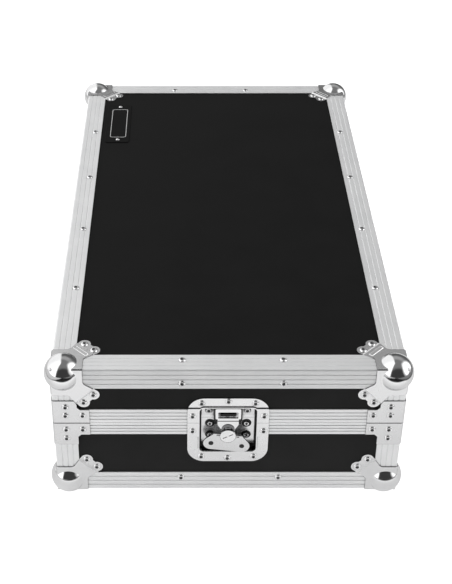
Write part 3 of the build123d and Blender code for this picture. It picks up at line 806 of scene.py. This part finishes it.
eyelet_tree = turned_part_tree(
    "eyelets",
    outer=[0.0, 1.0, 1.0, 0.9, 0.7, 0.0, 0.0, 0.0],
    inner=[0.0, 0.0, 0.0, 0.0, 0.0, 1.0, 0.9, 0.0],
    heights=[0.0, 0.0, 0.7, 0.95, 1.0, 0.95, 0.3, 0.25],
    around=20, metal=polished, core=core_steel_and_shade, core_from=5)
washer_tree = turned_part_tree(
    "shade_washers",
    outer=[0.0, 1.0, 1.0, 0.96, 0.0, 0.0],
    inner=[0.0, 0.0, 0.0, 0.0, 1.0, 0.0],
    heights=[0.0, 0.0, 0.7, 1.0, 1.0, 0.5],
    around=24, metal=black_for_washers_and_shade)
cam_tree = turned_part_tree(
    "cam_flanges",
    outer=[0.0, 1.0, 1.0, 0.86, 0.58, 0.5, 0.42, 0.22, 0.0],
    inner=[0.0] * 9,
    heights=[0.0, 0.0, 0.2, 0.5, 0.55, 0.2, 0.6, 0.95, 1.0],
    around=32, metal=cam_painted_reflection)
cam_sizes = {"Head radius": 8.4 * mm, "Head height": 0.85 * mm, "Hole radius": 0.0, "Seed": 5}
# sizes of the black caps of painted shade in the wing holes
hole_shade_sizes = {"Head radius": 3.2 * mm, "Head height": 0.4 * mm, "Hole radius": 1.9 * mm, "Seed": 6}
eyelet_shade_washer_sizes = {"Head radius": 6.2 * mm, "Head height": 0.6 * mm, "Hole radius": 3.0 * mm, "Seed": 4}
eyelet_sizes = {"Head radius": 3.5 * mm, "Head height": 1.8 * mm, "Hole radius": 1.5 * mm, "Seed": 3}

# Places from the middle of a latch, heights from the lid joint, the first two in millimetres
eyelet_places = [(x, z) for x in (-23.0, 24.0) for z in (-9.2, -28.5)]
wing_holes = [(-21.66, -31.27), (18.0, -36.49)]
cam_out, cam_z = 1.05 * mm, -10.0 * mm
wing_out = 4.0 * mm
tab_x = (18.2 * mm, 34.0 * mm)
tab_z = (5.3 * mm, 24.0 * mm)
tab_rivet_x, tab_rivet_z = 24.6 * mm, 13.0 * mm
# places of the painted shadow strips beside the hook plates
base_shadow_x, base_shadow_z, base_shadow_in = (13.9 * mm, 17.0 * mm), (-7.1 * mm, -0.2 * mm), 5.0 * mm
lid_shadow_x, lid_shadow_z, lid_shadow_in = (16.7 * mm, 18.1 * mm), (0.6 * mm, 22.2 * mm), 1.6 * mm
pan_half = 36.5 * mm    # half the opening of a dish
pan_top = 24.5 * mm
pan_low = -48.5 * mm
pan_round = 6.0 * mm
shade_strip_wide = 2.4 * mm


def wall_path(end, tip, inset):
    """Points from the open end of half a dish round its closed end and back, inset from the wall."""
    up = math.copysign(1.0, tip - end)
    half, radius = pan_half - inset, pan_round - inset
    path = [(-half, end)]
    for cx, start in ((radius - half, 180), (half - radius, 90)):
        for i in range(7):
            angle = math.radians(start - 15 * i)
            from_tip = inset + radius - radius * math.sin(angle)
            path.append((cx + radius * math.cos(angle), tip - up * from_tip))
    return path + [(half, end)]


def pan_shade_strips(body, end, tip):
    """Dark strip of painted shade where the wall of a drawn dish meets its floor, standing for the shade and
    dark reflection of that rounded corner.
    """
    bm = bmesh.new()
    walls, inner = wall_path(end, tip, 0.05 * mm), wall_path(end, tip, shade_strip_wide)
    for latch in latches:
        matrix = latch_frame(latch)
        lines = [[bm.verts.new(matrix @ Vector((x, pan_floor - rise, z))) for x, z in line]
                 for line, rise in ((walls, 0.0), (walls, shade_strip_wide), (inner, 0.15 * mm), (inner, 0.0))]
        for one, other in zip(lines, lines[1:] + lines[:1]):
            for i in range(len(walls) - 1):
                bm.faces.new((one[i], one[i + 1], other[i + 1], other[i]))
        for i in (0, -1):
            bm.faces.new([line[i] for line in lines])
    # black strip of painted shade along the foot of each dish wall
    new_piece(f"pan_shade_strips_{body}", bm, black_for_washers_and_shade, body)


def hook_shadow_strips(body, across, heights, front):
    """Dark strips of painted shadow on the floor of each dish, one on either side of the hook plate, where
    its shadow falls.
    """
    bm = bmesh.new()
    for latch in latches:
        to_plate = latch_frame(latch) @ Matrix.Rotation(math.radians(90), 4, "X")
        for x0, x1 in ((-across[1], -across[0]), across):
            outline = rounded_outline(x0, x1, *heights, 0.5 * mm, 2)
            add_slab(bm, outline, to_plate, -pan_floor, -front, 0.2 * mm)
    # black strips of painted shadow beside each hook plate
    new_piece(f"hook_shadow_strips_{body}", bm, black_for_washers_and_shade, body)


def latch_details():
    """Small parts and strips of painted shade in the pan of each latch, and the riveted keeper tabs above the
    joint.
    """
    eyelets, shade_washers, tab_rivets = Points(), Points(), Points()
    bm = bmesh.new()
    for name in latches:
        matrix = latch_frame(name)
        for x, z in eyelet_places:
            # black washer under each eyelet; its black is partly painted shade and dark reflection round the
            # eyelet
            shade_washers.add_on(matrix, x * mm, pan_floor, z * mm)
            eyelets.add_on(matrix, x * mm, pan_floor - 0.6 * mm, z * mm)
        cam, hole_shades = Points(), Points()
        cam.add_on(matrix, 0.0, -cam_out, cam_z)
        put_on_points(f"cam_flange_{name}", cam, cam_tree, cam_sizes, f"latch_{name}_spindle")
        # black caps in the holes of the wing, painted shade for the dark inside of each hole
        for x, z in wing_holes:
            hole_shades.add_on(matrix, x * mm, -wing_out, z * mm)
        put_on_points(f"wing_hole_shades_{name}", hole_shades, washer_tree, hole_shade_sizes, f"latch_{name}_wing")
        to_plate = matrix @ Matrix.Rotation(math.radians(90), 4, "X")
        for s in (-1, 1):
            x0, x1 = sorted(s * x for x in tab_x)
            add_slab(bm, rounded_outline(x0, x1, *tab_z, 1.2 * mm, 3), to_plate,
                     -pan_floor, -pan_floor + sheet_t, 0.25 * mm)
            tab_rivets.add_on(matrix, s * tab_rivet_x, pan_floor - sheet_t, tab_rivet_z)
    new_piece("keeper_tabs", bm, nickel, "lid")
    pan_shade_strips("base", 0.0, pan_low)
    pan_shade_strips("lid", 0.4 * mm, pan_top)
    hook_shadow_strips("base", base_shadow_x, base_shadow_z, base_shadow_in)
    hook_shadow_strips("lid", lid_shadow_x, lid_shadow_z, lid_shadow_in)
    put_on_points("eyelet_shade_washers", shade_washers, washer_tree, eyelet_shade_washer_sizes, "base")
    put_on_points("latch_eyelets", eyelets, eyelet_tree, eyelet_sizes, "base")
    put_on_points("keeper_tab_rivets", tab_rivets, rivet_tree, rivet_sizes, "lid")


latch_details()


# Foam lining

def lattice_lines(low, high, pitch, edge, extra=()):
    """Grid lines from low to high, closer together at the rounded edges."""
    lines = [low, low + 0.3 * edge, low + edge, high - edge, high - 0.3 * edge, high] + list(extra)
    count = max(1, round((high - low - 2 * edge) / pitch))
    lines += [low + edge + (high - low - 2 * edge) * i / count for i in range(1, count)]
    lines.sort()
    kept = [lines[0]]
    for line in lines[1:]:
        if line - kept[-1] > 0.25 * mm:
            kept.append(line)
    kept[-1] = high
    return kept


def add_foam_block(bm, low, high, pitch=11 * mm, edge=2.0 * mm, extra=((), (), ()), push=None):
    """Cut foam block with soft edges and a slightly uneven face."""
    lines = [lattice_lines(low[i], high[i], pitch, edge, extra[i]) for i in range(3)]
    counts = [len(line) for line in lines]
    made = {}

    def corner(i, j, k):
        if (i, j, k) not in made:
            point = Vector((lines[0][i], lines[1][j], lines[2][k]))
            core = Vector([min(max(point[a], low[a] + edge), high[a] - edge) for a in range(3)])
            outwards = point - core
            if outwards.length > 0:
                point = core + outwards.normalized() * min(edge, max(abs(v) for v in outwards))
            sink = 0.35 * mm * (1 + noise.noise(point * 55.0))
            point = point - (outwards.normalized() if outwards.length > 0 else Vector()) * sink
            if push:
                point = push(point)
            made[i, j, k] = bm.verts.new(point)
        return made[i, j, k]

    for a, b, c in ((0, 1, 2), (1, 2, 0), (2, 0, 1)):
        for end in (0, counts[c] - 1):
            for i in range(counts[a] - 1):
                for j in range(counts[b] - 1):
                    loop = []
                    for di, dj in ((0, 0), (1, 0), (1, 1), (0, 1)):
                        index = [0, 0, 0]
                        index[a], index[b], index[c] = i + di, j + dj, end
                        loop.append(corner(*index))
                    bm.faces.new(loop)


def foam_piece(name, node, blocks, body):
    """Piece of foam blocks, each with its own cut, that stands for a CAD node."""
    bm = bmesh.new()
    for low, high, cut in blocks:
        add_foam_block(bm, low, high, **cut)
    piece = new_piece(name, bm, foam, body, smooth=True)
    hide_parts(node)
    return piece


def wall_strips():
    """Four strips of foam along the walls, the right one hollowed behind the handle dish."""
    low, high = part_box("wall_foam")
    wide, joint = 30.0 * mm, 0.3 * mm
    play = 0.4 * mm
    hollow_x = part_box("handle_dish")[0].x - play
    open_w, open_h = 59.5 * mm, 23.2 * mm    # half the pan of the handle dish

    def hollow(point):
        if abs(point.y) < open_w + play and abs(point.z - handle_z) < open_h + play and point.x > hollow_x:
            return Vector((hollow_x, point.y, point.z))
        return point

    y_lines = [s * (open_w + d) for s in (-1, 1) for d in (play / 2, 2 * play)]
    z_lines = [handle_z + s * (open_h + d) for s in (-1, 1) for d in (play / 2, 2 * play)]
    inner = high.x - wide - joint
    return [
        (Vector((high.x - wide, low.y, low.z)), high, {"extra": ((), y_lines, z_lines), "push": hollow}),
        (low, Vector((low.x + wide, high.y, high.z)), {}),
        (Vector((-inner, low.y, low.z)), Vector((inner, low.y + wide, high.z)), {}),
        (Vector((-inner, high.y - wide, low.z)), Vector((inner, high.y, high.z)), {}),
    ]


foam_piece("floor_pad", "floor_foam", [(*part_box("floor_foam"), {})], "base")
foam_piece("lid_pad", "lid_foam", [(*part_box("lid_foam"), {})], "lid")
foam_piece("wall_strips", "wall_foam", wall_strips(), "base")


# Floor, light and camera

table_half = 0.835
table_front = -0.77
sheet_from = 0.64
floor_half = 30.0

# Light that each part of the floor gives
table_glow = 0.45
front_glow = 0.85
side_glow = 0.22
sheet_glow = 0.7
backdrop_glow = 1.05

# Brightness of the studio
room_level = 0.22
sheet_level = 1.6
sheet_back = 1.15
lamp_level = 2.2


def floor():
    """White floor: a lit table under the case, with a dark gap between it and the white sheet on the left."""
    bm = bmesh.new()
    bm.faces.new([bm.verts.new((x * floor_half, y * floor_half, 0.0))
                  for x, y in ((-1, -1), (1, -1), (1, 1), (-1, 1))])
    mesh = bpy.data.meshes.new("floor")
    bm.to_mesh(mesh)
    bm.free()
    material, tree, shader = new_material("floor_white")
    shader.inputs["Roughness"].default_value = 1.0
    shader.inputs["Specular IOR Level"].default_value = 0.0
    shader.inputs["Emission Color"].default_value = (1, 1, 1, 1)
    seen = tree.nodes.new("ShaderNodeLightPath").outputs["Is Camera Ray"]
    place = parts_of(tree, tree.nodes.new("ShaderNodeTexCoord").outputs["Object"])
    across = arithmetic(tree, "ABSOLUTE", place["X"], 0.0)
    taper = arithmetic(tree, "MULTIPLY", place["Y"], 0.4)
    outwards = arithmetic(tree, "SUBTRACT", arithmetic(tree, "SUBTRACT", across, taper), table_half)
    in_width = spread(tree, outwards, 1.0, 0.0, -0.01, 0.01)
    in_length = spread(tree, place["Y"], 0.0, 1.0, table_front - 0.05, table_front + 0.05)
    table = arithmetic(tree, "MULTIPLY", in_width, in_length)
    tone = blend_colours(tree, table, (0.02, 0.02, 0.02), (0.5, 0.5, 0.5))
    tree.links.new(tone, shader.inputs["Base Color"])
    to_sheet = arithmetic(tree, "MAXIMUM", arithmetic(tree, "ADD", taper, table_half + 0.05), sheet_from)
    left = arithmetic(tree, "MULTIPLY", place["X"], -1.0)
    sheet = spread(tree, arithmetic(tree, "SUBTRACT", left, to_sheet), 0.0, 1.0, 0.0, 0.03)
    rising = spread(tree, place["Y"], table_glow, front_glow, -0.45, table_front)
    glow = arithmetic(tree, "MAXIMUM", arithmetic(tree, "MULTIPLY", table, rising),
                      arithmetic(tree, "MULTIPLY", sheet, sheet_glow))
    right = arithmetic(tree, "SUBTRACT", place["X"], to_sheet)
    glow = arithmetic(tree, "MAXIMUM", glow, spread(tree, right, 0.0, side_glow, 0.0, 0.2))
    glow = arithmetic(tree, "MAXIMUM", glow, arithmetic(tree, "MULTIPLY", seen, backdrop_glow))
    tree.links.new(glow, shader.inputs["Emission Strength"])
    mesh.materials.append(material)
    piece = bpy.data.objects.new("floor", mesh)
    scene.collection.objects.link(piece)


def sky_patch(tree, direction, azimuth, elevation, half_width, half_height, soft):
    """Share of a soft oval patch of the studio, 1 inside; azimuth 0 is behind the camera, 90 at its right."""
    towards = parts_of(tree, direction)
    turn = math.radians(azimuth)
    ahead = arithmetic(tree, "ADD", arithmetic(tree, "MULTIPLY", towards["X"], math.sin(turn)),
                       arithmetic(tree, "MULTIPLY", towards["Y"], -math.cos(turn)))
    across = arithmetic(tree, "ADD", arithmetic(tree, "MULTIPLY", towards["X"], math.cos(turn)),
                        arithmetic(tree, "MULTIPLY", towards["Y"], math.sin(turn)))
    around = arithmetic(tree, "ARCTAN2", across, ahead)
    height = arithmetic(tree, "ARCSINE", towards["Z"], 0.0)
    above = arithmetic(tree, "SUBTRACT", height, math.radians(elevation))
    wide = arithmetic(tree, "DIVIDE", around, math.radians(half_width))
    tall = arithmetic(tree, "DIVIDE", above, math.radians(half_height))
    reach = root_of_squares(tree, (wide, tall))
    edge = tree.nodes.new("ShaderNodeMapRange")
    edge.interpolation_type = "SMOOTHSTEP"
    edge.inputs["From Min"].default_value = 1.0 + soft
    edge.inputs["From Max"].default_value = 1.0 - soft
    tree.links.new(reach, edge.inputs["Value"])
    return edge.outputs["Result"]


def sheet_share(tree, direction):
    """Share of the white sheet that hangs on the left, from beside the camera to over the case."""
    towards = parts_of(tree, direction)
    ahead = arithmetic(tree, "MULTIPLY", arithmetic(tree, "MINIMUM", towards["Y"], 0.0), 0.6)
    return spread(tree, arithmetic(tree, "SUBTRACT", ahead, towards["X"]), 0.0, 1.0, 0.08, 0.16)


def back_share(tree, direction):
    """Share of the part of the sheet behind the case, which gets less light."""
    return spread(tree, parts_of(tree, direction)["Y"], 0.0, 1.0, -0.1, 0.5)


def studio():
    """Studio that the metal mirrors: dark behind the camera, white sheet on the left, lamp on the right."""
    world = bpy.data.worlds.new("studio")
    scene.world = world
    world.use_nodes = True
    tree = world.node_tree
    direction = tree.nodes.new("ShaderNodeTexCoord").outputs["Generated"]
    level = room_level
    for azimuth, elevation, half_width, half_height, soft, brightness in (
            (180, 46, 60, 16, 0.5, 0.43),    # wall behind the case
            (180, 6, 60, 24, 0.4, 0.12),     # dark foot of that wall
            (8, 5, 62, 52, 0.2, 0.05)):      # dark behind the camera
        patch = sky_patch(tree, direction, azimuth, elevation, half_width, half_height, soft)
        level = blend_values(tree, patch, level, brightness)
    sheet = blend_values(tree, back_share(tree, direction), sheet_level, sheet_back)
    level = blend_values(tree, sheet_share(tree, direction), level, sheet)
    lamp = sky_patch(tree, direction, 86, 23, 34, 32, 0.4)
    level = blend_values(tree, lamp, level, lamp_level)
    tree.links.new(level, tree.nodes["Background"].inputs["Strength"])
    tree.nodes["Background"].inputs["Color"].default_value = (1, 1, 1, 1)


def camera():
    """Camera at the photograph's place, tilted down with no turn and no roll."""
    data = bpy.data.cameras.new("camera")
    data.lens = 76.38
    data.sensor_width = 36.0
    data.shift_x = 0.0739
    data.shift_y = -0.0890
    data.clip_end = 100.0
    view = bpy.data.objects.new("camera", data)
    view.location = (-0.0578, -1.59861, 1.18443)
    view.rotation_euler = (math.radians(90 - 33.01), 0.0, 0.0)
    scene.collection.objects.link(view)
    scene.camera = view


floor()
studio()
camera()
scene.view_settings.view_transform = "Standard"
